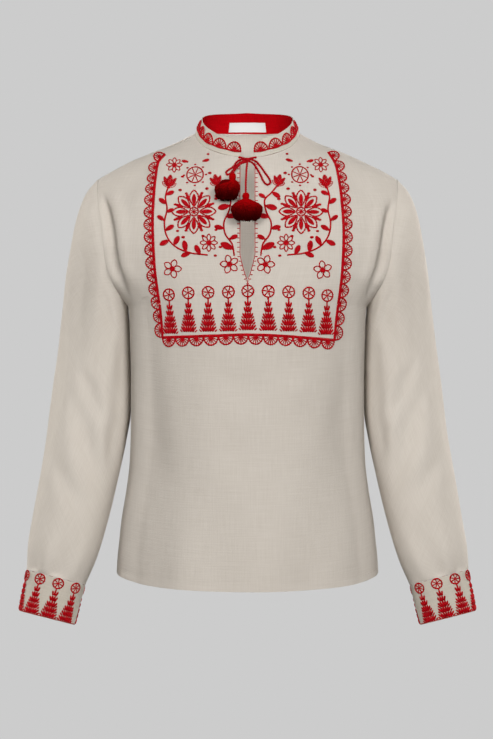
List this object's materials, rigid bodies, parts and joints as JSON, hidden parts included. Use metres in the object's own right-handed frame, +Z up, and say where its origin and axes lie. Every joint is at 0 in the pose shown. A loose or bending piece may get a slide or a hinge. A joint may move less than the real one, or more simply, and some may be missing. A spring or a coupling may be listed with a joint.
{
  "type": "vyshyvanka shirt",
  "caption": "Long-sleeved linen vyshyvanka shirt, filled out and hollow, with red embroidery, an open stand collar, a keyhole slit and a corded tie with pompoms.",
  "frame": {"origin": "centre of the neck base, level with the lowest points of the shoulder neck line, where the wearer's neck and shoulders hold the shirt up", "axes": "+Z up along the body, -Y the way the front faces, +X to the right of someone looking at the front"},
  "size_m": [0.6604, 0.272, 0.7486],
  "materials": {
    "linen": "matt plain-woven linen in natural ecru, slubbed, with red stem and satin stitch embroidery on the chest",
    "cuff_linen": "double linen band with red embroidered motifs and a red satin stitched edge",
    "collar_linen": "linen band with a row of red embroidered fans and a red corded rim",
    "facing_cotton": "plain bright red cotton, fine weave",
    "label_satin": "bare white woven satin",
    "tie_cord": "two-ply twisted red cotton cord",
    "pompom_yarn": "dense cut wool yarn in dark red"
  },
  "bodies": {
    "root": {"front": "linen", "back": "linen", "sleeve_left": "linen", "sleeve_right": "linen", "cuff_left": "cuff_linen", "cuff_right": "cuff_linen", "collar": "collar_linen", "collar_facing": "facing_cotton", "label": "label_satin", "tie_lead_left": "tie_cord", "tie_lead_right": "tie_cord", "tie_loop_left": "tie_cord", "tie_loop_right": "tie_cord", "tie_end_left": "tie_cord", "tie_end_centre": "tie_cord", "tie_knot": "tie_cord", "pompom_left": "pompom_yarn", "pompom_centre": "pompom_yarn"}
  },
  "joints": []
}
